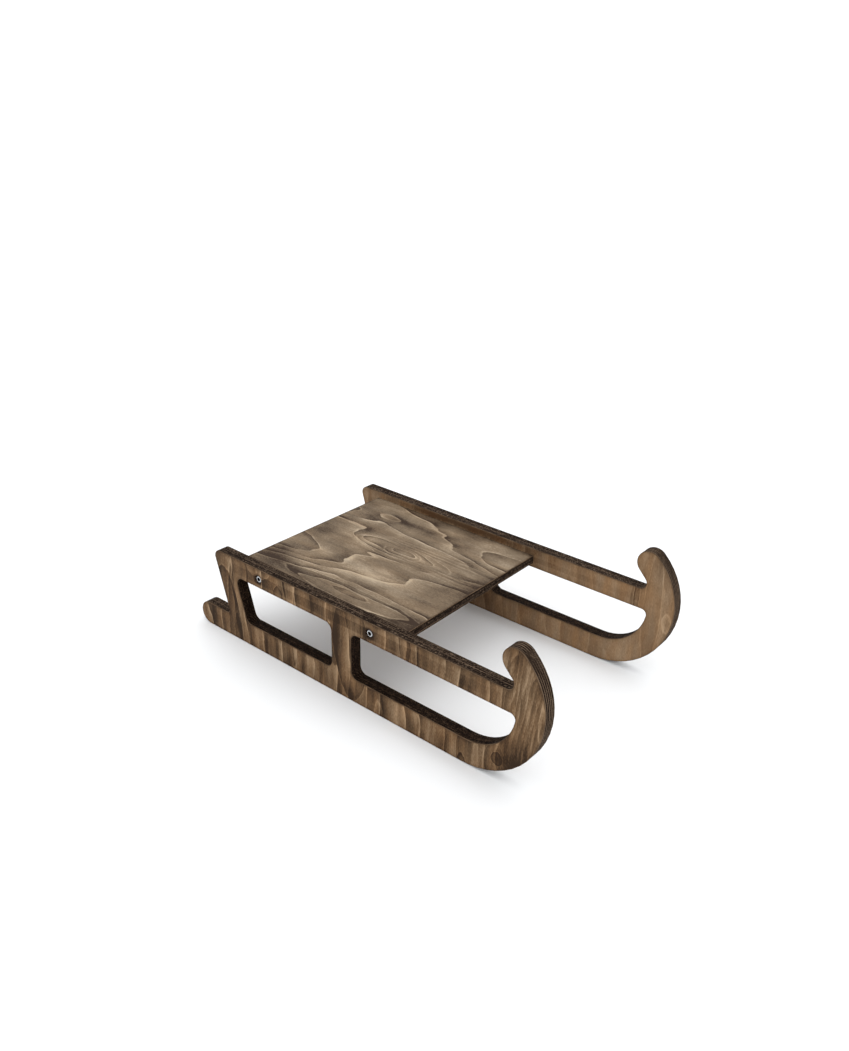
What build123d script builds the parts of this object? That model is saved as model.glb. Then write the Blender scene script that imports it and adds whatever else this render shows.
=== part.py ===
from build123d import *
import os
from math import cos, radians, sin, sqrt, tan

# A small plywood sled: two runner plates cut from one sheet thickness, a thinner seat panel
# standing between them, and four furniture screws that go through the plates into the
# seat's side edges. Nothing on it moves.
# Frame: +X forward, towards the bows; +Y to the left; +Z up. The origin is on the ground,
# at the middle of the length and of the width. The outline is drawn with X from the tail tip.

# Overall size and sheets
length = 570.0
width = 305.0
plate_thickness = 17.5
seat_thickness = 12.0
edge_round = 0.8

# Runner plate: rails, leg and post
sole_rail_height = 34.0
rail_top = 126.0
rail_depth = 28.0
leg_lean = radians(16.7)
leg_width = 34.5
leg_rear_at_sole_rail = 63.5
post_rear = 258.0
post_width = 33.5

# Runner plate: bow and hook at the front
bow_radius = 107.0
upper_bow_radius = 93.0
hook_tip_radius = 17.0
hook_tip_angle = 47.5
hook_inner_slope = 46.7
front_window_radius = 66.0
front_window_reach = 533.5

# Runner plate: corner radii
leg_top_radius = 10.0
leg_foot_radius = 6.0
window_radius = 10.0
front_window_top_radius = 7.0
hook_notch_radius = 9.0

# Seat panel
seat_rear = 74.0
seat_length = 286.0
seat_top = 116.5

# Screws: a countersunk furniture screw with a hexagon socket
screw_length = 50.0
screw_head_diameter = 10.0
screw_shank_diameter = 6.0
screw_point_length = 5.0
screw_point_diameter = 2.0
screw_socket_across_flats = 4.0
screw_socket_depth = 2.8
screw_sink = 1.0
screw_side_clearance = 0.1
pilot_extra_depth = 1.0
rear_screw_from_seat_rear = 52.0
front_screw_from_seat_front = 38.0

# Worked out from the sizes above
plate_middle = (width - plate_thickness) / 2
seat_width = width - 2 * plate_thickness
screw_height = seat_top - seat_thickness / 2
hole_radius = screw_shank_diameter / 2 + screw_side_clearance
window_top = rail_top - rail_depth
screw_places = {
    "rear": seat_rear + rear_screw_from_seat_rear,
    "front": seat_rear + seat_length - front_screw_from_seat_front,
}


def leg_rear_at(height):
    return leg_rear_at_sole_rail - (height - sole_rail_height) * tan(leg_lean)


def leg_front_at(height):
    return leg_rear_at(height) + leg_width


def polar(centre, radius, degrees):
    turned = radians(degrees)
    return centre[0] + radius * cos(turned), centre[1] + radius * sin(turned)


def rounded(face, corners):
    # Rounds each named corner of a flat face; corners are (point, radius) pairs.
    for point, radius in corners:
        corner = face.vertices().sort_by_distance((*point, 0))[0]
        face = fillet(corner, radius)
    return face


def outer_outline():
    # Tail, sole, bow, hook, notch, top rail and leaning rear leg, as one closed loop.
    tail_radius = sole_rail_height / 2
    bow_centre = (length - bow_radius, bow_radius)
    upper_centre = (length - upper_bow_radius, bow_radius)
    tip_centre = polar(upper_centre, upper_bow_radius - hook_tip_radius, hook_tip_angle)
    tip_end_angle = 270 - hook_inner_slope
    tip_end = polar(tip_centre, hook_tip_radius, tip_end_angle)
    notch_corner = (
        tip_end[0] + (tip_end[1] - rail_top) / tan(radians(hook_inner_slope)),
        rail_top,
    )
    leg_top_corner = (leg_rear_at(rail_top), rail_top)
    leg_foot_corner = (leg_rear_at(sole_rail_height), sole_rail_height)
    tail_top = (tail_radius, sole_rail_height)
    loop = [
        Line((tail_radius, 0), (bow_centre[0], 0)),
        CenterArc(bow_centre, bow_radius, 270, 90),
        CenterArc(upper_centre, upper_bow_radius, 0, hook_tip_angle),
        CenterArc(tip_centre, hook_tip_radius, hook_tip_angle, tip_end_angle - hook_tip_angle),
        Line(tip_end, notch_corner),
        Line(notch_corner, leg_top_corner),
        Line(leg_top_corner, leg_foot_corner),
        Line(leg_foot_corner, tail_top),
        CenterArc((tail_radius, tail_radius), tail_radius, 90, 180),
    ]
    corners = [
        (notch_corner, hook_notch_radius),
        (leg_top_corner, leg_top_radius),
        (leg_foot_corner, leg_foot_radius),
    ]
    return rounded(make_face(Wire(loop)), corners)


def rear_window():
    corners = [
        (leg_front_at(sole_rail_height), sole_rail_height),
        (post_rear, sole_rail_height),
        (post_rear, window_top),
        (leg_front_at(window_top), window_top),
    ]
    face = make_face(Polyline(*corners, close=True))
    return rounded(face, [(corner, window_radius) for corner in corners])


def front_window():
    # Its front end follows the bow: an arc that leaves a band as wide as the sole rail.
    rear = post_rear + post_width
    centre = (front_window_reach - front_window_radius, sole_rail_height + front_window_radius)
    rise = window_top - centre[1]
    arc_top = (centre[0] + sqrt(front_window_radius**2 - rise**2), window_top)
    loop = [
        Line((rear, sole_rail_height), (centre[0], sole_rail_height)),
        RadiusArc((centre[0], sole_rail_height), arc_top, -front_window_radius),
        Line(arc_top, (rear, window_top)),
        Line((rear, window_top), (rear, sole_rail_height)),
    ]
    corners = [
        ((rear, sole_rail_height), window_radius),
        ((rear, window_top), window_radius),
        (arc_top, front_window_top_radius),
    ]
    return rounded(make_face(Wire(loop)), corners)


def plate_blank():
    # One runner plate, standing on the X axis, with its middle on the plane Y = 0.
    outline = outer_outline() - rear_window() - front_window()
    flat = extrude(outline, plate_thickness / 2, both=True)
    flat = fillet(edges_on_faces(flat), edge_round)
    return Rot(90, 0, 0) * flat


def edges_on_faces(flat):
    # The edges around the two broad faces of a flat-lying plate.
    broad = flat.faces().filter_by(Axis.Z)
    return [edge for face in broad for edge in face.edges()]


def screw_cutter():
    # Drill shape for one screw, along Z with its mouth at Z = 0: countersink and clear hole.
    mouth_radius = screw_head_diameter / 2 + screw_sink
    sink_depth = mouth_radius - hole_radius
    sink = Pos(0, 0, -sink_depth / 2) * Cone(hole_radius, mouth_radius, sink_depth)
    depth = screw_sink + screw_length + pilot_extra_depth
    drill = Pos(0, 0, -depth / 2) * Cylinder(hole_radius, depth)
    return sink + drill


def screw():
    # Head at the top, point down, with the top of the head screw_sink below Z = 0.
    head = screw_head_diameter / 2
    shank = screw_shank_diameter / 2
    cone_depth = head - shank
    outline = Polyline(
        (0, 0),
        (head, 0),
        (shank, -cone_depth),
        (shank, screw_point_length - screw_length),
        (screw_point_diameter / 2, -screw_length),
        (0, -screw_length),
        close=True,
    )
    body = revolve(Plane.XZ * make_face(outline), Axis.Z)
    flats = RegularPolygon(screw_socket_across_flats / 2, 6, major_radius=False)
    socket = extrude(Pos(0, 0, -screw_socket_depth) * flats, screw_socket_depth)
    return Pos(0, 0, -screw_sink) * (body - socket)


def screw_location(side, along):
    # Puts a screw or its cutter on one side: +1 left, -1 right, pointing inwards.
    place = Pos(along - length / 2, side * width / 2, screw_height)
    return place * Rot(-90 * side, 0, 0)


def holes():
    cutter = screw_cutter()
    return [
        screw_location(side, along) * cutter
        for side in (1, -1)
        for along in screw_places.values()
    ]


def runner(side):
    return Pos(-length / 2, side * plate_middle, 0) * plate_blank() - holes()


def seat_panel():
    middle = seat_rear + seat_length / 2 - length / 2
    blank = Pos(middle, 0, screw_height) * Box(seat_length, seat_width, seat_thickness)
    across = blank.edges().filter_by(Axis.Y)
    return fillet(across, edge_round) - holes()


def all_parts():
    parts = {
        "left_runner": runner(1),
        "right_runner": runner(-1),
        "seat_panel": seat_panel(),
    }
    for side_name, side in (("left", 1), ("right", -1)):
        for place_name, along in screw_places.items():
            name = f"{side_name}_{place_name}_screw"
            parts[name] = screw_location(side, along) * screw()
    return parts


os.makedirs("parts", exist_ok=True)
for node, shape in all_parts().items():
    export_step(shape, f"parts/{node}.step")
    print(node, round(shape.volume), shape.bounding_box().size)
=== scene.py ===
import random
from math import atan2, ceil, cos, hypot, pi, radians, sin, sqrt, tan

import bmesh
import bpy
from mathutils import Matrix, Vector
from mathutils.geometry import tessellate_polygon


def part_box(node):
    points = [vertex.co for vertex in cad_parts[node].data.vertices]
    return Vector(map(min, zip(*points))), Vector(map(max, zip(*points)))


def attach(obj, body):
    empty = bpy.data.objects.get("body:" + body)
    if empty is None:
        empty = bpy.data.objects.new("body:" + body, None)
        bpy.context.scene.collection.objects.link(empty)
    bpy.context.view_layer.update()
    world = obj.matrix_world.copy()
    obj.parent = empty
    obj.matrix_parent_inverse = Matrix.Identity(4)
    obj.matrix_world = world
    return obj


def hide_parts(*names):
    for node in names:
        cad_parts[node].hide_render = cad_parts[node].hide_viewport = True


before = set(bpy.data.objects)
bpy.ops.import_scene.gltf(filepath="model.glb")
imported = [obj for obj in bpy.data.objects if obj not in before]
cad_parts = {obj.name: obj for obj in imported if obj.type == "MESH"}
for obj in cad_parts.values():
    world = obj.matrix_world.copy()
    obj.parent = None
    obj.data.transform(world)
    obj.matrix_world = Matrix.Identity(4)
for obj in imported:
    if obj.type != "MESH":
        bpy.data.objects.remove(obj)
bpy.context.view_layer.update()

# ---------------------------------------------------------------- Camera, floor and light
# A plain pale studio floor under a broad soft sky and one large overhead light a little ahead
# of the sled, seen from beyond its right-hand bow.
camera_place = Vector((0.6894, -0.8463, 0.7146))
camera_right = Vector((0.76590, 0.64268, 0.01916))
camera_up = Vector((-0.29362, 0.32309, 0.89967))
camera_back = Vector((0.57201, -0.69468, 0.43615))

camera_data = bpy.data.cameras.new("camera")
camera_data.sensor_width = 36.0
camera_data.lens = 32.554
camera_data.clip_end = 60.0
camera = bpy.data.objects.new("camera", camera_data)
bpy.context.scene.collection.objects.link(camera)
camera_axes = Matrix((camera_right, camera_up, camera_back)).transposed()
camera.matrix_world = Matrix.Translation(camera_place) @ camera_axes.to_4x4()
bpy.context.scene.camera = camera
bpy.context.scene.view_settings.view_transform = "Standard"

sky = bpy.data.worlds.new("studio sky")
sky.use_nodes = True
glow = sky.node_tree.nodes["Background"]
glow.inputs["Color"].default_value = (0.968, 0.984, 1.0, 1.0)
glow.inputs["Strength"].default_value = 1.42
bpy.context.scene.world = sky

overhead_data = bpy.data.lights.new("overhead light", "SUN")
overhead_data.energy = 0.35
overhead_data.angle = radians(50)
overhead_data.color = (1.0, 0.985, 0.965)
overhead = bpy.data.objects.new("overhead light", overhead_data)
overhead.rotation_euler = (radians(-8), radians(18), 0)
bpy.context.scene.collection.objects.link(overhead)

floor_half = 12.0
floor_gap = 0.0001
floor_mesh = bpy.data.meshes.new("floor")
floor_corners = [(-floor_half, -floor_half), (floor_half, -floor_half),
                 (floor_half, floor_half), (-floor_half, floor_half)]
floor_mesh.from_pydata([(x, y, -floor_gap) for x, y in floor_corners], [], [(0, 1, 2, 3)])
floor = bpy.data.objects.new("floor", floor_mesh)
bpy.context.scene.collection.objects.link(floor)
floor_paper = bpy.data.materials.new("floor paper")
floor_paper.use_nodes = True
paper_shader = floor_paper.node_tree.nodes["Principled BSDF"]
paper_shader.inputs["Base Color"].default_value = (0.83, 0.83, 0.83, 1)
paper_shader.inputs["Roughness"].default_value = 0.9
paper_shader.inputs["Specular IOR Level"].default_value = 0.2
floor_mesh.materials.append(floor_paper)

# ---------------------------------------------------------------- Runner plates
# Two side plates cut from one sheet of birch plywood, eleven plies thick, with the grain of
# the face veneers standing upright. They are brushed with a dark brown stain. The arrises are
# sanded round, and the cut edges drink up the stain and go nearly black.
plate_low, plate_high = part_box("right_runner")
plate_length = 0.570
plate_thickness = plate_high.y - plate_low.y
half_width = -plate_low.y
tail = plate_high.x - plate_length
plate_plies = 11

sole_rail_height = 0.034
rail_top = 0.126
window_top = 0.098
leg_lean = radians(16.7)
leg_width = 0.0345
leg_rear_at_sole_rail = 0.0635
post_rear = 0.258
post_front = 0.2915
bow_radius = 0.107
upper_bow_radius = 0.093
hook_tip_radius = 0.017
hook_tip_angle = radians(47.5)
hook_inner_slope = radians(46.7)
front_window_radius = 0.066
front_window_reach = 0.5335

leg_top_radius = 0.010
leg_foot_radius = 0.006
hook_notch_radius = 0.009
window_radius = 0.010
front_window_top_radius = 0.007

screw_height = 0.1105
screw_places = (-0.159, 0.037)
sink_radius = 0.006
bore_radius = 0.0031

# The cut edges: a sanded round on each arris, and a fine groove at each glue line. Every second
# ply stands back by a hair, and the fibres are torn to uneven depths.
arris_round = 0.0008
arris_steps = 3
arc_step = radians(7)
edge_step = 0.003
groove_depth = 0.00016
groove_half = 0.00010
groove_floor_half = 0.00003
ply_set_back = 0.00005
torn_depth = 0.00007

# Rings on a face just inside its edge: (inset, how much of the edge's darker rim is left there).
face_margins = [(0.0022, 0.45), (0.0050, 0.0)]


def polar(centre, radius, angle):
    return centre[0] + radius * cos(angle), centre[1] + radius * sin(angle)


def arc(centre, radius, start, end):
    steps = max(3, ceil(abs(end - start) / arc_step))
    angles = [start + (end - start) * step / steps for step in range(steps + 1)]
    return [polar(centre, radius, angle) for angle in angles]


def rounded_corner(before, corner, after, radius):
    # The arc that rounds the corner between two straight edges.
    back = Vector((before[0] - corner[0], before[1] - corner[1])).normalized()
    ahead = Vector((after[0] - corner[0], after[1] - corner[1])).normalized()
    half = back.angle(ahead) / 2
    centre = Vector(corner) + (back + ahead).normalized() * radius / sin(half)
    first = Vector(corner) + back * radius / tan(half) - centre
    last = Vector(corner) + ahead * radius / tan(half) - centre
    start = atan2(first.y, first.x)
    turn = (atan2(last.y, last.x) - start + pi) % (2 * pi) - pi
    return arc(centre, radius, start, start + turn)


def rounded_polygon(corners):
    # Corners are (point, radius) pairs, in order round the loop.
    points = [point for point, radius in corners]
    loop = []
    for i, (point, radius) in enumerate(corners):
        after = points[(i + 1) % len(points)]
        loop += rounded_corner(points[i - 1], point, after, radius)
    return loop


def leg_rear_at(height):
    return leg_rear_at_sole_rail - (height - sole_rail_height) * tan(leg_lean)


def plate_outline():
    # Anticlockwise from the tail: sole, bow, hook, notch, top rail, leaning leg, tail.
    tail_radius = sole_rail_height / 2
    bow_centre = (plate_length - bow_radius, bow_radius)
    upper_centre = (plate_length - upper_bow_radius, bow_radius)
    tip_centre = polar(upper_centre, upper_bow_radius - hook_tip_radius, hook_tip_angle)
    tip_end_angle = 1.5 * pi - hook_inner_slope
    tip_end = polar(tip_centre, hook_tip_radius, tip_end_angle)
    notch = (tip_end[0] + (tip_end[1] - rail_top) / tan(hook_inner_slope), rail_top)
    leg_top = (leg_rear_at(rail_top), rail_top)
    leg_foot = (leg_rear_at(sole_rail_height), sole_rail_height)
    tail_top = (tail_radius, sole_rail_height)
    loop = arc(bow_centre, bow_radius, 1.5 * pi, 2 * pi)
    loop += arc(upper_centre, upper_bow_radius, 0, hook_tip_angle)
    loop += arc(tip_centre, hook_tip_radius, hook_tip_angle, tip_end_angle)
    loop += rounded_corner(tip_end, notch, leg_top, hook_notch_radius)
    loop += rounded_corner(notch, leg_top, leg_foot, leg_top_radius)
    loop += rounded_corner(leg_top, leg_foot, tail_top, leg_foot_radius)
    loop += arc((tail_radius, tail_radius), tail_radius, 0.5 * pi, 1.5 * pi)
    return loop


def rear_window():
    low, high = sole_rail_height, window_top
    corners = [
        (leg_rear_at(low) + leg_width, low),
        (leg_rear_at(high) + leg_width, high),
        (post_rear, high),
        (post_rear, low),
    ]
    return rounded_polygon([(corner, window_radius) for corner in corners])


def front_window():
    # Its front end follows the bow; a small round joins that arc to the underside of the rail.
    low, high = sole_rail_height, window_top
    centre = (front_window_reach - front_window_radius, low + front_window_radius)
    rise = high - front_window_top_radius - centre[1]
    run = sqrt((front_window_radius - front_window_top_radius) ** 2 - rise**2)
    top_centre = (centre[0] + run, centre[1] + rise)
    meeting = atan2(rise, run)
    post_foot, post_head = (post_front, low), (post_front, high)
    loop = rounded_corner((centre[0], low), post_foot, post_head, window_radius)
    loop += rounded_corner(post_foot, post_head, (top_centre[0], high), window_radius)
    loop += arc(top_centre, front_window_top_radius, 0.5 * pi, meeting)
    loop += arc(centre, front_window_radius, meeting, -0.5 * pi)
    return loop


def spaced(loop, step):
    # Drops doubled points, and divides long straight runs.
    same_point = 0.000001
    result = []
    for i, point in enumerate(loop):
        ahead = loop[(i + 1) % len(loop)]
        move = (ahead[0] - point[0], ahead[1] - point[1])
        gap = hypot(*move)
        pieces = ceil(gap / step) if gap > same_point else 0
        for piece in range(pieces):
            share = piece / pieces
            result.append((point[0] + move[0] * share, point[1] + move[1] * share))
    return result


def outward(loop):
    # At each point, the direction out of the wood, lengthened at corners, at most twofold, so
    # that an inset stays even.
    directions = []
    for i, point in enumerate(loop):
        behind, ahead = loop[i - 1], loop[(i + 1) % len(loop)]
        into = Vector((point[0] - behind[0], point[1] - behind[1])).normalized()
        out = Vector((ahead[0] - point[0], ahead[1] - point[1])).normalized()
        middle = (into + out).normalized()
        directions.append(Vector((middle.y, -middle.x)) / max(0.5, middle.dot(out)))
    return directions


def ply_profile(thickness, plies):
    # (inset, depth, ply) down a cut edge: a round arris, each ply, and a groove at each glue line.
    ply = thickness / plies
    turns = [step / arris_steps * pi / 2 for step in range(arris_steps + 1)]
    profile = [(arris_round * (1 - sin(a)), arris_round * (1 - cos(a)), 0) for a in turns]
    for line in range(1, plies):
        depth = line * ply
        profile += [
            (ply_set_back * ((line - 1) % 2), depth - groove_half, line - 1),
            (groove_depth, depth - groove_floor_half, line - 1),
            (groove_depth, depth + groove_floor_half, line),
            (ply_set_back * (line % 2), depth + groove_half, line),
        ]
    upper_arris = profile[:arris_steps + 1]
    lower_arris = [(inset, thickness - depth, plies - 1) for inset, depth, _ in reversed(upper_arris)]
    return profile + lower_arris


def cleaned_mesh(mesh, sharp_angle):
    # Turns every face outwards, and shades smooth all but the real corners.
    shaped = bmesh.new()
    shaped.from_mesh(mesh)
    bmesh.ops.recalc_face_normals(shaped, faces=shaped.faces)
    shaped.to_mesh(mesh)
    shaped.free()
    mesh.shade_smooth()
    mesh.set_sharp_from_angle(angle=sharp_angle)


def ply_board(name, outlines, bores, thickness, plies, grain, place, seed):
    # A closed board. outlines are (loop, face margins, burn_and_shade) with the wood on the loop's
    # left; burn_and_shade is how black that edge is, from the cutter's burn and, inside the windows,
    # from painted shade. bores are countersunk holes from depth 0.
    # grain is the face veneers' direction in the board's plane, and place(x, y, depth) sets a
    # point of the board in the sled's frame. Its material slots are the face at depth 0, the
    # face behind it, and the cut edges.
    edge_slot = 2
    # The countersinks' walls are darkened for burn and for painted shade.
    bore_end_grain, bore_burn_and_shade = 0.8, 0.4
    chance = random.Random(seed)
    points, rims = [], []
    faces, corners, slots, ends, arrises, burn_and_shade_values = [], [], [], [], [], []
    fibres = (Vector(grain), Vector((-grain[1], grain[0])))
    caps = ([], [])

    def ring(loop, normals, insets, depth, rim):
        first = len(points)
        for point, normal, inset in zip(loop, normals, insets):
            points.append((point[0] - normal.x * inset, point[1] - normal.y * inset, depth))
            rims.append(rim)
        return list(range(first, len(points)))

    def join(upper, lower, along, slot, end_grain, arris, burn_and_shade):
        for i, here in enumerate(upper):
            k = (i + 1) % len(upper)
            faces.append((here, upper[k], lower[k], lower[i]))
            above, below = points[here][2], points[lower[i]][2]
            after = along[i + 1]
            corners.extend([(along[i], above), (after, above), (after, below), (along[i], below)])
            slots.append(slot)
            ends.append(end_grain[i])
            arrises.append(arris)
            burn_and_shade_values.append(burn_and_shade)

    def distances(loop):
        along = [0.0]
        for i, point in enumerate(loop):
            ahead = loop[(i + 1) % len(loop)]
            along.append(along[-1] + hypot(ahead[0] - point[0], ahead[1] - point[1]))
        return along

    for loop, margins, burn_and_shade in outlines:
        loop = spaced(loop, edge_step)
        normals, along = outward(loop), distances(loop)
        across_fibres = [[abs(n.normalized().dot(f)) for n in normals] for f in fibres]
        torn = [[chance.uniform(0, torn_depth) for point in loop] for ply in range(plies)]
        profile = ply_profile(thickness, plies)
        rows = []
        for inset, depth, ply in profile:
            rough = torn[ply] if arris_round < depth < thickness - arris_round else [0] * len(loop)
            rows.append(ring(loop, normals, [inset + tear for tear in rough], depth, 1.0))
        for j in range(len(profile) - 1):
            ply = min(profile[j][2], profile[j + 1][2])
            is_arris = j < arris_steps or j >= len(profile) - 1 - arris_steps
            join(rows[j], rows[j + 1], along, edge_slot, across_fibres[ply % 2], float(is_arris), burn_and_shade)
        for cap, depth, row in ((0, 0.0, rows[0]), (1, thickness, rows[-1])):
            for inset, rim in margins:
                inner = ring(loop, normals, [inset] * len(loop), depth, rim)
                join(row, inner, along, cap, [0.0] * len(loop), 0.0, 0.0)
                row = inner
            caps[cap].append(row)

    for centre in bores:
        loop = arc(centre, bore_radius, 2 * pi, 0)[:-1]
        normals, along = outward(loop), distances(loop)
        sink = sink_radius - bore_radius
        profile = [(-sink, 0.0), (0.0, sink), (0.0, thickness)]
        rows = [ring(loop, normals, [-inset] * len(loop), depth, 1.0) for inset, depth in profile]
        for upper, lower in zip(rows, rows[1:]):
            join(upper, lower, along, edge_slot, [bore_end_grain] * len(loop), 0.0, bore_burn_and_shade)
        caps[0].append(rows[0])
        caps[1].append(rows[-1])

    for cap in (0, 1):
        order = [index for loop in caps[cap] for index in loop]
        for triangle in tessellate_polygon([[Vector(points[i]) for i in loop] for loop in caps[cap]]):
            face = [order[corner] for corner in triangle]
            faces.append(face)
            corners.extend([points[index][:2] for index in face])
            slots.append(cap)
            ends.append(0.0)
            arrises.append(0.0)
            burn_and_shade_values.append(0.0)

    mesh = bpy.data.meshes.new(name)
    mesh.from_pydata([place(*point) for point in points], [], faces)
    uv = mesh.uv_layers.new(name="board")
    uv.data.foreach_set("uv", [value for corner in corners for value in corner])
    mesh.polygons.foreach_set("material_index", slots)
    for attribute_name, values in (("end grain", ends), ("arris", arrises), ("burn_and_shade", burn_and_shade_values)):
        mesh.attributes.new(attribute_name, "FLOAT", "FACE").data.foreach_set("value", values)
    mesh.attributes.new("rim", "FLOAT", "POINT").data.foreach_set("value", rims)
    cleaned_mesh(mesh, radians(32))
    board = bpy.data.objects.new(name, mesh)
    bpy.context.scene.collection.objects.link(board)
    return board


class Field:
    # A number that varies over a surface; arithmetic on it adds Math nodes to the material.
    def __init__(self, tree, socket):
        self.tree = tree
        self.socket = socket

    def math(self, operation, *others, clamp=False):
        step = self.tree.nodes.new("ShaderNodeMath")
        step.operation = operation
        step.use_clamp = clamp
        for slot, value in enumerate((self, *others)):
            connect(self.tree, value, step.inputs[slot])
        return Field(self.tree, step.outputs[0])

    def __add__(self, other):
        return self.math("ADD", other)

    def __sub__(self, other):
        return self.math("SUBTRACT", other)

    def __mul__(self, other):
        return self.math("MULTIPLY", other)

    def __truediv__(self, other):
        return self.math("DIVIDE", other)

    def smooth(self, low, high):
        # 0 at low, 1 at high, with a soft start and end.
        step = self.tree.nodes.new("ShaderNodeMapRange")
        step.interpolation_type = "SMOOTHSTEP"
        step.inputs["From Min"].default_value = low
        step.inputs["From Max"].default_value = high
        self.tree.links.new(self.socket, step.inputs["Value"])
        return Field(self.tree, step.outputs["Result"])

    def ramp(self, stops):
        # Colours or greys by value; stops are (value, colour) pairs.
        step = self.tree.nodes.new("ShaderNodeValToRGB")
        points = step.color_ramp.elements
        while len(points) < len(stops):
            points.new(0.5)
        for point, (value, colour) in zip(points, stops):
            if isinstance(colour, float):
                colour = (colour, colour, colour)
            point.position = value
            point.color = (*colour, 1)
        self.tree.links.new(self.socket, step.inputs["Fac"])
        return Field(self.tree, step.outputs["Color"])


def connect(tree, value, socket):
    if isinstance(value, Field):
        tree.links.new(value.socket, socket)
    else:
        socket.default_value = value


def coordinates(tree, source):
    # The X, Y and Z of "Object" or "UV" coordinates, in millimetres.
    place = tree.nodes.new("ShaderNodeTexCoord")
    split = tree.nodes.new("ShaderNodeSeparateXYZ")
    tree.links.new(place.outputs[source], split.inputs[0])
    return [Field(tree, split.outputs[axis]) * 1000.0 for axis in range(3)]


def noise(tree, x, y, z, detail=2.0):
    # Noise over three fields, each already divided by the size of its lumps. Its middle is 0.
    point = tree.nodes.new("ShaderNodeCombineXYZ")
    for value, socket in zip((x, y, z), point.inputs):
        connect(tree, value, socket)
    lumps = tree.nodes.new("ShaderNodeTexNoise")
    lumps.inputs["Scale"].default_value = 1.0
    lumps.inputs["Detail"].default_value = detail
    tree.links.new(point.outputs[0], lumps.inputs["Vector"])
    return Field(tree, lumps.outputs["Fac"]) - 0.5


def attribute(tree, name):
    reader = tree.nodes.new("ShaderNodeAttribute")
    reader.attribute_name = name
    return Field(tree, reader.outputs["Fac"])


def mix(tree, amount, first, second):
    blend = tree.nodes.new("ShaderNodeMix")
    blend.data_type = "RGBA"
    connect(tree, amount, blend.inputs["Factor"])
    for value, socket in ((first, blend.inputs["A"]), (second, blend.inputs["B"])):
        connect(tree, value if isinstance(value, Field) else (*value, 1), socket)
    return Field(tree, blend.outputs["Result"])


def finish_surface(tree, colour, roughness, height, relief, shine=0.12):
    # Plugs colour, roughness and relief (in metres) into the material's own shader.
    shader = tree.nodes["Principled BSDF"]
    tree.links.new(colour.socket, shader.inputs["Base Color"])
    connect(tree, roughness, shader.inputs["Roughness"])
    bump = tree.nodes.new("ShaderNodeBump")
    bump.inputs["Distance"].default_value = relief
    tree.links.new(height.socket, bump.inputs["Height"])
    tree.links.new(bump.outputs[0], shader.inputs["Normal"])
    shader.inputs["Specular IOR Level"].default_value = shine


def loops(along, across, clarity, places):
    # Growth figures with an outline: a pale line round a long pointed loop. Inside the line the
    # wood is dark, or pale if the shade is negative, and fades towards the middle.
    line_half_width = 0.55
    total = None
    for middle_along, middle_across, length, width, shade in places:
        reach = ((along - middle_along) / length).math("ABSOLUTE").math("POWER", 1.5)
        side = ((across - middle_across) / width).math("ABSOLUTE").math("POWER", 2.0)
        out = (reach + side).math("POWER", 0.57)
        line = line_half_width / width
        border = out.smooth(1.0 - 2.2 * line, 1.0) * out.smooth(1.0 + 1.6 * line, 1.0)
        inside = out.smooth(1.0, 1.0 - 1.4 * line) * out.math("POWER", 2.5)
        part = border * clarity * 0.30 - inside * shade
        total = part if total is None else total + part
    return total


def mounds(along, across, places):
    # Soft elongated mounds, for hills in the ring field, clouds of darker stain and of painted
    # shade, and the places where fine lines show.
    total = None
    for middle_along, middle_across, length, width, height in places:
        reach = (along - middle_along) / length
        side = (across - middle_across) / width
        part = (reach * reach + side * side).math("MULTIPLY", -1.0).math("EXPONENT") * height
        total = part if total is None else total + part
    return total


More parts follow.
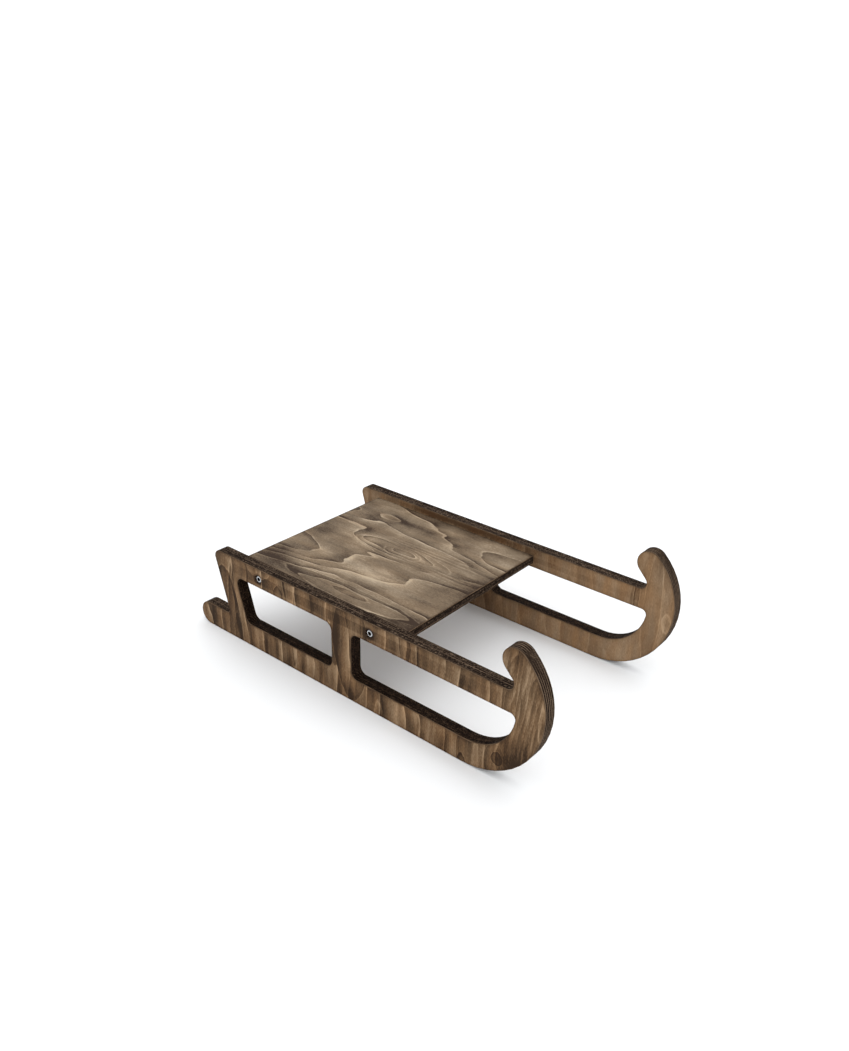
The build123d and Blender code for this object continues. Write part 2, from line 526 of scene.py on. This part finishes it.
def veneer(
    name, grain, layer, spacing, wander, stain, strength, streaky, warm_share,
    outlined=(), hills=(), clouds=(), lined=(), screws=(),
):
    # Rotary-cut birch veneer under brown stain, with its grain along the sled's X or Z. The
    # rings are the contour lines of a gently sloping field, spacing apart, that wanders: each
    # zone goes from dark to light and ends in a thin pale line. layer sets one veneer's pattern
    # apart from another's. stain is the dark, middle and light colour, strength is the contrast
    # of the rings, streaky that of the streaks along the grain, and warm_share how much of the
    # stain has a red cast. All sizes are in millimetres, and all places from the sled's origin.
    # Figures are (along, across, half length, half width, amount): outlined loops, hills that
    # bend the rings, and clouds of darker stain, which on the left plate's inner face are painted
    # shade and reflection from the seat. lined adds fine parallel lines in place of the rings, with
    # a last number for how far they lean. screws are the places of the screw heads, round which the
    # veneer is darker in a ring.
    line_pitch = 6.2
    screw_ring_outside, screw_ring_inside = 10.5, 5.5
    material = bpy.data.materials.new(name)
    material.use_nodes = True
    tree = material.node_tree
    x, y, z = coordinates(tree, "Object")
    along, across = (z, x) if grain == "Z" else (x, y)
    bend = noise(tree, across / 48, along / 120, layer) * wander
    ripple = noise(tree, across / 8, along / 24, layer + 5.0) * (wander * 0.12)
    feather = noise(tree, across / 1.8, along / 6, layer + 1.0) * 0.9
    bent = across + bend + ripple + feather
    rings = bent / spacing + noise(tree, across / 40, along / 160, layer + 9.0) * 2.2
    if hills:
        rings = rings + mounds(along, bent, hills)
    zone = rings.math("FRACT").ramp([
        (0.0, 0.05), (0.12, 0.16), (0.50, 0.50), (0.88, 0.66),
        (0.945, 1.0), (0.985, 0.94), (1.0, 0.05),
    ])
    clarity = noise(tree, across / 26, along / 50, layer + 2.0).smooth(-0.16, 0.2) * 0.75 + 0.25
    fibre = noise(tree, across / 0.5, along / 14, layer + 3.0, 3.0)
    dash = noise(tree, across / 0.8, along / 3.6, layer + 11.0, 1.0)
    streak = noise(tree, across / 1.9, along / 60, layer + 4.0, 3.0)
    band = noise(tree, bent / 7.5, along / 130, layer + 10.0, 1.0)
    cloud = noise(tree, across / 34, along / 52, layer + 6.0, 3.0)
    pores = noise(tree, across / 0.30, along / 3.0, layer + 7.0, 1.0).smooth(0.14, 0.26)
    drift = noise(tree, across / 9, along / 220, layer + 12.0) * 1.8
    shades = []
    for middle_along, middle_across, length, width, amount, lean in lined:
        here = mounds(along, across, [(middle_along, middle_across, length, width, 1.0)])
        clarity = clarity * (here * -0.8 + 1.0)
        phase = (across + bend * 0.5 - along * lean) / line_pitch + drift
        shown = phase.math("FRACT").ramp([(0.0, 0.2), (0.5, 0.42), (0.82, 1.0), (1.0, 0.2)])
        shades.append((shown - 0.45) * here * amount)
    tone = (zone - 0.5) * clarity * (0.85 * strength) + band * (0.9 * streaky) + cloud * 0.75
    tone = tone + fibre * 0.46 + dash * 0.50 + streak * (0.20 + 0.30 * streaky) + 0.5
    figure_across = across + bend * 0.4 + ripple * 1.4 + feather
    if outlined:
        tone = tone + loops(along + ripple * 3.0, figure_across, clarity, outlined)
    if clouds:
        tone = tone - mounds(along + ripple * 3.0, figure_across, clouds)
    for shade in shades:
        tone = tone + shade
    tone = tone - pores * 0.12 - attribute(tree, "rim") * 0.16
    for screw_along, screw_across in screws:
        reach = along - screw_along
        side = across - screw_across
        away = (reach * reach + side * side).math("SQRT")
        tone = tone - away.smooth(screw_ring_outside, screw_ring_inside) * 0.45
    warmth = noise(tree, across / 18, along / 90, layer + 8.0).smooth(-0.2, 0.25)
    dark, middle, light = stain
    colour = tone.ramp([(0.05, dark), (0.50, middle), (0.95, light)])
    warm = tone.ramp([(0.05, warmer(dark)), (0.50, warmer(middle)), (0.95, warmer(light))])
    roughness = (streak * 0.25 + 0.70 + pores * 0.1).math("MINIMUM", 0.9)
    height = fibre * 0.8 + dash * 0.4 + zone * 0.25 - pores * 1.2
    colour = mix(tree, warmth * warm_share, colour, warm)
    finish_surface(tree, colour, roughness, height, relief=0.00012)
    return material


def warmer(colour):
    return colour[0] * 1.06, colour[1] * 0.90, colour[2] * 0.72


def cut_edge(name, ply, seed):
    # The cut edge, where ply is one layer's thickness in millimetres: end grain nearly black
    # with a row of paler specks in each ply, long grain a little lighter with a pale line along
    # it, and the sanded arris back to the colour of the face. The front of the bow and the hook
    # is sanded smoother, with more of the lines and fewer specks. Inside the windows, where no
    # sander reaches, the edge stays black from the cutter, and painted shade darkens it further.
    sanded_from, sanded_fully = 226.0, 250.0
    material = bpy.data.materials.new(name)
    material.use_nodes = True
    tree = material.node_tree
    along, depth = coordinates(tree, "UV")[:2]
    sanded = coordinates(tree, "Object")[0].smooth(sanded_from, sanded_fully)
    row = depth / ply
    number = row.math("FLOOR")
    odd = noise(tree, number * 7.3, seed, seed + 3.0, 0.0)
    from_middle = (row.math("FRACT") - 0.5).math("ABSOLUTE")
    slanted = along + depth * 0.9 + number * 31.7
    dashes = noise(tree, slanted / 1.25, number * 3.7, seed, 0.0).smooth(0.03, 0.15)
    dashes = dashes * from_middle.smooth(0.50, 0.24) * (sanded * -0.65 + 1.0)
    brightness = noise(tree, along / 30, number * 5.3, seed + 6.0, 3.0) * 1.4 + 0.70
    lines = from_middle.smooth(0.42, 0.12) * brightness
    grit = noise(tree, along / 0.6, depth / 0.5, seed + 1.0, 3.0)
    streaks = noise(tree, along / 16, depth / 0.45, seed + 2.0, 2.0)
    patch = noise(tree, along / 26, depth / 9, seed + 4.0, 2.0)
    end_tone = dashes * (patch * 1.1 + 0.98) + lines * sanded * 0.45
    end_tone = end_tone + grit * 0.28 + patch * 0.25 - 0.06
    end_colour = end_tone.ramp([
        (0.0, (0.010, 0.005, 0.003)),
        (0.28, (0.009, 0.005, 0.003)),
        (1.0, (0.185, 0.128, 0.087)),
    ])
    long_tone = lines * (odd * 2.2 + 0.75 + sanded * 0.75) + grit * 0.20 + patch * 0.25
    long_colour = long_tone.ramp([
        (0.0, (0.010, 0.005, 0.003)),
        (0.32, (0.010, 0.0055, 0.0035)),
        (1.0, (0.185, 0.126, 0.084)),
    ])
    wood = mix(tree, attribute(tree, "end grain").smooth(0.2, 0.95), long_colour, end_colour)
    burn_and_shade_tone = dashes * 0.30 + lines * 0.55 + streaks * 0.4 + grit * 0.2 - 0.05
    burn_and_shade_wood = burn_and_shade_tone.ramp([
        (0.0, (0.003, 0.001, 0.001)),
        (0.3, (0.007, 0.0035, 0.002)),
        (1.0, (0.130, 0.078, 0.046)),
    ])
    # Burnt wood, with painted shade as well inside the windows and countersinks.
    wood = mix(tree, attribute(tree, "burn_and_shade") * 0.90, wood, burn_and_shade_wood)
    worn = attribute(tree, "arris") * (grit + patch * 1.5 + 0.60)
    colour = mix(tree, worn.math("MULTIPLY", 0.9, clamp=True), wood, (0.160, 0.104, 0.063))
    height = dashes * 0.8 + grit * 1.2 + streaks * 0.6
    finish_surface(tree, colour, grit * 0.3 + 0.8, height, relief=0.00025, shine=0.03)
    return material


plate_stain = ((0.026, 0.013, 0.005), (0.130, 0.078, 0.040), (0.310, 0.213, 0.128))
inner_stain = ((0.070, 0.038, 0.018), (0.200, 0.130, 0.075), (0.350, 0.248, 0.155))
screw_marks = [(screw_height * 1000, along * 1000) for along in screw_places]

# Figures on the faces, in millimetres: (height, place along the sled, half height, half width,
# amount). Those in right_outer_lined also have their lean.
right_outer_loops = [
    (-24, -214, 142, 13, 0.24), (4, -207, 39, 9, 0.32), (17, -230, 90, 32, 0.40),
    (80, 6, 80, 31, 0.32), (2, 51, 20, 7, -0.35), (128, -160, 16, 24, -0.30),
    (-6, 180, 20, 7, 0.55), (100, 281, 28, 5, -0.40), (29, 229, 9, 8, 0.46), (20, 226, 30, 16, 0.10),
    (100, -124, 14, 9, 0.40), (30, -96, 26, 6, 0.40),
    (12, 199, 30, 5, -0.30), (118, 92, 30, 10, 0.30), (130, -100, 40, 9, -0.30),
]
right_outer_clouds = [
    (60, 6, 50, 12, -0.18), (8, 8, 22, 14, 0.22), (5, -150, 12, 40, 0.12), (29, 229, 4, 4, 0.34),
    (36, 256, 32, 20, 0.40), (6, 62, 18, 6, 0.28), (16, 78, 24, 4, -0.20), (8, 108, 18, 6, 0.26),
    (14, 130, 22, 5, -0.18), (6, 150, 14, 6, 0.24), (18, 166, 22, 4, -0.20), (10, -100, 20, 7, 0.22),
    (20, -60, 22, 4, -0.16), (4, -30, 16, 8, 0.22), (14, -178, 24, 3, 0.25), (14, -168, 22, 4, -0.15),
    (12, -150, 24, 3, 0.22), (16, -128, 18, 3.5, 0.34), (14, -118, 20, 4, -0.20), (12, -106, 24, 3, 0.28),
    (14, -92, 20, 4, -0.18), (12, -80, 24, 3, 0.22), (14, -46, 22, 3, 0.22), (112, -60, 14, 5, 0.20),
    (112, -34, 14, 4, -0.18), (112, 66, 14, 4, -0.20), (112, 120, 14, 6, -0.14),
    (100, -29, 1.8, 2.6, -0.70),
]
right_outer_lined = [
    (112, 258, 56, 28, 0.40, 0.16), (62, 270, 40, 16, 0.30, 0.14), (156, 234, 24, 20, 0.18, 0.16),
    (14, 252, 15, 12, 0.80, -0.9),
]
left_inner_loops = [(90, 276, 15, 7, -0.35), (110, 232, 40, 4, 0.5), (100, 255, 90, 12, 0.10)]
# On the left plate's inner face, painted shade and warm reflection from the seat: a band just above the
# seat, one just below it, and a patch on the sole rail beneath it.
left_inner_seat_shade = [(121, -70, 5, 130, 0.55), (98, -70, 8, 130, 0.35), (20, -60, 50, 110, 0.25)]
right_inner_loops = [(60, -120, 60, 18, 0.3), (20, 150, 40, 12, 0.3)]
left_outer_loops = [(160, 10, 150, 22, 0.3), (0, -90, 50, 14, 0.3), (60, 255, 60, 12, 0.2)]

runner_edge = cut_edge("runner cut edge", ply=plate_thickness * 1000 / plate_plies, seed=1.0)
runner_faces = {
    "right": (
        veneer(
            "right outer veneer", "Z", layer=3.0, spacing=30.0, wander=24.0,
            stain=plate_stain, strength=1.05, streaky=0.65, warm_share=0.7,
            outlined=right_outer_loops, clouds=right_outer_clouds, lined=right_outer_lined,
            screws=screw_marks,
        ),
        veneer(
            "right inner veneer", "Z", layer=31.0, spacing=28.0, wander=20.0,
            stain=plate_stain, strength=0.7, streaky=0.5, warm_share=0.6,
            outlined=right_inner_loops,
        ),
    ),
    "left": (
        veneer(
            "left outer veneer", "Z", layer=57.0, spacing=30.0, wander=22.0,
            stain=plate_stain, strength=0.95, streaky=0.60, warm_share=0.6,
            outlined=left_outer_loops, screws=screw_marks,
        ),
        veneer(
            "left inner veneer", "Z", layer=83.0, spacing=34.0, wander=12.0,
            stain=inner_stain, strength=0.35, streaky=0.25, warm_share=0.9,
            outlined=left_inner_loops, clouds=left_inner_seat_shade,
        ),
    ),
}

for side_name, side in (("right", -1), ("left", 1)):
    runner = ply_board(
        f"{side_name}_runner_plate",
        outlines=[
            (plate_outline(), face_margins, 0.0),
            # The window edges are blackened for the cutter's burn and for painted shade.
            (rear_window(), face_margins, 1.0),
            (front_window(), face_margins, 1.0),
        ],
        bores=[(place - tail, screw_height) for place in screw_places],
        thickness=plate_thickness,
        plies=plate_plies,
        grain=(0, 1),
        place=lambda along, height, depth: (tail + along, side * (half_width - depth), height),
        seed=side + 5,
    )
    for material in (*runner_faces[side_name], runner_edge):
        runner.data.materials.append(material)
    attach(runner, "root")
    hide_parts(f"{side_name}_runner")

# ---------------------------------------------------------------- Seat panel
# One flat panel of thinner birch plywood, seven plies, standing between the plates with its
# side edges tight against them. Its face grain runs along the sled in long flames.
seat_low, seat_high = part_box("seat_panel")
seat_thickness = seat_high.z - seat_low.z
seat_plies = 7
seat_margins = [(0.0020, 0.45), (0.0045, 0.0)]

# Figures on the seat, in millimetres: (place along the sled, place across it, half length,
# half width, amount). Those in seat_lined also have their lean.
seat_hills = [
    (-61, 18, 62, 15, 2.6), (-251, -55, 130, 40, 3.4), (-41, -107, 105, 13, -1.8),
    (-231, 75, 50, 24, 1.8), (119, 85, 150, 38, 3.2), (-126, 20, 22, 12, 1.2), (60, -20, 80, 30, -0.8),
]
seat_loops = [
    (-61, 18, 31, 13, 0.14), (-61, 18, 84, 21, 0.10), (-39, -106, 33, 6, 0.30), (-41, -107, 118, 16, 0.20),
]
seat_clouds = [
    (-155, -108, 45, 13, 0.34), (64, -110, 34, 15, 0.26), (-195, -95, 30, 26, 0.26),
    (-100, 94, 85, 8, 0.26), (-192, 30, 22, 55, 0.20), (72, -10, 9, 130, 0.16),
    (-60, -132, 150, 9, 0.30), (-70, 132, 140, 9, 0.16), (-30, -50, 70, 26, -0.14),
    (-45, -57, 30, 8, -0.20), (-125, 10, 20, 12, -0.20), (50, -8, 34, 36, 0.24),
    (48, -70, 34, 30, 0.12), (-200, -20, 26, 90, 0.10),
]
seat_lined = [(-20, 44, 95, 10, 0.40, 0.0), (30, 8, 60, 12, 0.30, 0.0)]
under_hills = [(-100, -40, 120, 40, 3.0), (60, 60, 140, 50, 2.6)]
seat_stain = ((0.030, 0.016, 0.008), (0.172, 0.125, 0.081), (0.385, 0.305, 0.214))

seat_outline = [
    (seat_low.x, seat_low.y),
    (seat_high.x, seat_low.y),
    (seat_high.x, seat_high.y),
    (seat_low.x, seat_high.y),
]
seat = ply_board(
    "seat_plate",
    outlines=[(seat_outline, seat_margins, 0.3)],
    bores=[],
    thickness=seat_thickness,
    plies=seat_plies,
    grain=(1, 0),
    place=lambda x, y, depth: (x, y, seat_high.z - depth),
    seed=9,
)
seat.data.materials.append(veneer(
    "seat top veneer", "X", layer=11.0, spacing=46.0, wander=22.0,
    stain=seat_stain, strength=1.15, streaky=0.20, warm_share=0.35,
    outlined=seat_loops, hills=seat_hills, clouds=seat_clouds, lined=seat_lined,
))
seat.data.materials.append(veneer(
    "seat underside veneer", "X", layer=37.0, spacing=50.0, wander=26.0,
    stain=plate_stain, strength=0.8, streaky=0.3, warm_share=0.6, hills=under_hills,
))
seat.data.materials.append(cut_edge("seat cut edge", ply=seat_thickness * 1000 / seat_plies, seed=6.0))
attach(seat, "root")
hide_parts("seat_panel")

# ---------------------------------------------------------------- Screws
# Four zinc-plated furniture screws with a countersunk head and a hexagon socket. They go in
# through the plates, a millimetre below the face, and hold by their thread in the seat's edge.
screw_length = 0.050
screw_sink = 0.001
head_radius = 0.005
head_flat_radius = 0.0039
head_crown = 0.00002
head_round = 0.0003
head_flat_drop = 0.00003
head_rim_depth = 0.0004
head_edge_depth = 0.0007
# How dark the head's sloping rim is painted: painted shade from the countersink wall round it.
rim_painted_shade = 0.7
shank_radius = 0.003
neck_length = 0.014
thread_root_radius = 0.0022
thread_pitch = 0.0022
thread_crest_share = 0.22
thread_run_in = 0.002
thread_rows = 160
point_length = 0.005
point_radius = 0.001
socket_half = 0.002
socket_depth = 0.0028
socket_dip = 0.0006
socket_dip_radius = 0.0008
socket_chamfer = 0.0005
socket_mouth_radius = 0.0027
socket_lip = 0.0001
screw_segments = 36


def thread_radius(depth, turn):
    # A narrow crest on a wide root, winding once round for each pitch, dying away at the point.
    phase = (depth / thread_pitch - turn) % 1.0
    crest = max(0.0, 1.0 - abs(phase - 0.5) / thread_crest_share)
    start = min(1.0, (depth - neck_length) / thread_run_in)
    shaft = shank_radius + (thread_root_radius - shank_radius) * start
    body = shaft + (shank_radius - shaft) * crest
    taper = max(0.0, (depth - screw_length + point_length) / point_length)
    return body + (point_radius - body) * taper


def screw_rows():
    # (radius at each segment, depth, how dark: old stain and painted shade in the socket, painted
    # shade on the rim), from the floor of the socket up its wall, out over the head, and down the
    # shank to the point.
    turns = [segment / screw_segments for segment in range(screw_segments)]
    hexagon = [socket_half / cos((turn * 2 * pi) % (pi / 3) - pi / 6) for turn in turns]

    def circle(radius):
        return [radius] * screw_segments

    rows = [
        (circle(socket_dip_radius), socket_depth + socket_dip, 1.0),
        (hexagon, socket_depth, 1.0),
        (hexagon, socket_chamfer, 1.0),
        (circle(socket_mouth_radius), 0.0, 1.0),
        (circle(socket_mouth_radius + socket_lip), -head_crown, 0.0),
        (circle(head_flat_radius - head_round), -head_crown, 0.0),
        (circle(head_flat_radius), head_flat_drop, rim_painted_shade),
        (circle(head_radius - head_round), head_rim_depth, rim_painted_shade),
        (circle(head_radius), head_edge_depth, 0.0),
        (circle(shank_radius), head_edge_depth + head_radius - shank_radius, 0.0),
        (circle(shank_radius), neck_length, 0.0),
    ]
    for row in range(1, thread_rows + 1):
        depth = neck_length + (screw_length - neck_length) * row / thread_rows
        rows.append(([thread_radius(depth, turn) for turn in turns], depth, 0.0))
    return rows


def one_screw():
    # One screw, head up, with the mouth of its socket at Z = 0.
    vertices = []
    faces = []
    stain_and_shade = []
    rows = screw_rows()
    for radii, depth, _ in rows:
        for segment, radius in enumerate(radii):
            angle = segment / screw_segments * 2 * pi
            vertices.append((radius * cos(angle), radius * sin(angle), -depth))
    for row in range(len(rows) - 1):
        for segment in range(screw_segments):
            after = (segment + 1) % screw_segments
            upper, lower = row * screw_segments, (row + 1) * screw_segments
            faces.append((upper + segment, upper + after, lower + after, lower + segment))
            stain_and_shade.append(rows[row][2])
    faces.append(tuple(range(screw_segments)))
    faces.append(tuple(range(len(vertices) - screw_segments, len(vertices))))
    stain_and_shade += [1.0, 0.0]
    mesh = bpy.data.meshes.new("one screw")
    mesh.from_pydata(vertices, [], faces)
    mesh.attributes.new("old stain and shade", "FLOAT", "FACE").data.foreach_set("value", stain_and_shade)
    cleaned_mesh(mesh, radians(35))
    return mesh


def zinc_plate():
    # Bright zinc with dull spots and fine scuffs, darkened by old stain and painted shade in the
    # socket and by painted shade on the rim.
    material = bpy.data.materials.new("zinc plate")
    material.use_nodes = True
    tree = material.node_tree
    x, y, z = coordinates(tree, "Object")
    spots = noise(tree, x / 1.1, y / 1.1, z / 1.1, 3.0)
    scuffs = noise(tree, x / 0.25, y / 0.25, z / 0.25, 2.0)
    bright = (spots * 0.8 + scuffs * 0.4 + 0.5).ramp([
        (0.0, (0.30, 0.31, 0.32)),
        (1.0, (0.78, 0.79, 0.81)),
    ])
    # Near black: old stain and painted shade in the socket, painted shade on the rim.
    colour = mix(tree, attribute(tree, "old stain and shade"), bright, (0.012, 0.010, 0.009))
    finish_surface(tree, colour, spots * 0.3 + 0.34, scuffs, relief=0.00004)
    tree.nodes["Principled BSDF"].inputs["Metallic"].default_value = 1.0
    return material


def screw_tree():
    # Sets one screw at each corner of a rectangle, heads outwards, and gives them their finish.
    tree = bpy.data.node_groups.new("screws in their places", "GeometryNodeTree")
    tree.interface.new_socket("Geometry", in_out="INPUT", socket_type="NodeSocketGeometry")
    for socket_name in ("Rear place", "Front place", "Half width", "Height"):
        tree.interface.new_socket(socket_name, in_out="INPUT", socket_type="NodeSocketFloat")
    tree.interface.new_socket("Finish", in_out="INPUT", socket_type="NodeSocketMaterial")
    tree.interface.new_socket("Geometry", in_out="OUTPUT", socket_type="NodeSocketGeometry")
    given = tree.nodes.new("NodeGroupInput")
    result = tree.nodes.new("NodeGroupOutput")

    def calculate(operation, first, second):
        step = tree.nodes.new("ShaderNodeMath")
        step.operation = operation
        for value, socket in ((first, step.inputs[0]), (second, step.inputs[1])):
            if isinstance(value, float):
                socket.default_value = value
            else:
                tree.links.new(value, socket)
        return step.outputs[0]

    rear, front = given.outputs["Rear place"], given.outputs["Front place"]
    rectangle = tree.nodes.new("GeometryNodeMeshGrid")
    rectangle.inputs["Vertices X"].default_value = 2
    rectangle.inputs["Vertices Y"].default_value = 2
    tree.links.new(calculate("SUBTRACT", front, rear), rectangle.inputs["Size X"])
    tree.links.new(calculate("MULTIPLY", given.outputs["Half width"], 2.0), rectangle.inputs["Size Y"])
    centre = tree.nodes.new("ShaderNodeCombineXYZ")
    tree.links.new(calculate("MULTIPLY", calculate("ADD", front, rear), 0.5), centre.inputs["X"])
    tree.links.new(given.outputs["Height"], centre.inputs["Z"])
    moved = tree.nodes.new("GeometryNodeTransform")
    tree.links.new(rectangle.outputs["Mesh"], moved.inputs["Geometry"])
    tree.links.new(centre.outputs[0], moved.inputs["Translation"])
    place = tree.nodes.new("GeometryNodeInputPosition")
    split = tree.nodes.new("ShaderNodeSeparateXYZ")
    tree.links.new(place.outputs[0], split.inputs[0])
    sideways = tree.nodes.new("ShaderNodeCombineXYZ")
    tree.links.new(split.outputs["Y"], sideways.inputs["Y"])
    turned = tree.nodes.new("FunctionNodeAlignRotationToVector")
    turned.axis = "Z"
    tree.links.new(sideways.outputs[0], turned.inputs["Vector"])
    placed = tree.nodes.new("GeometryNodeInstanceOnPoints")
    tree.links.new(moved.outputs["Geometry"], placed.inputs["Points"])
    tree.links.new(given.outputs["Geometry"], placed.inputs["Instance"])
    tree.links.new(turned.outputs[0], placed.inputs["Rotation"])
    real = tree.nodes.new("GeometryNodeRealizeInstances")
    tree.links.new(placed.outputs["Instances"], real.inputs["Geometry"])
    finished = tree.nodes.new("GeometryNodeSetMaterial")
    tree.links.new(real.outputs["Geometry"], finished.inputs["Geometry"])
    tree.links.new(given.outputs["Finish"], finished.inputs["Material"])
    tree.links.new(finished.outputs["Geometry"], result.inputs["Geometry"])
    return tree


def made_solid(piece, tree, values):
    # Runs a Geometry Nodes tree on a piece and keeps the result as its plain mesh.
    modifier = piece.modifiers.new(tree.name, "NODES")
    modifier.node_group = tree
    for socket in tree.interface.items_tree:
        if socket.in_out == "INPUT" and socket.name in values:
            modifier[socket.identifier] = values[socket.name]
    ready = piece.evaluated_get(bpy.context.evaluated_depsgraph_get())
    mesh = bpy.data.meshes.new_from_object(ready)
    piece.modifiers.clear()
    piece.data = mesh


screws = bpy.data.objects.new("zinc_screws", one_screw())
bpy.context.scene.collection.objects.link(screws)
made_solid(screws, screw_tree(), {
    "Rear place": screw_places[0],
    "Front place": screw_places[1],
    "Half width": half_width - screw_sink,
    "Height": screw_height,
    "Finish": zinc_plate(),
})
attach(screws, "root")
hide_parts("left_rear_screw", "left_front_screw", "right_rear_screw", "right_front_screw")
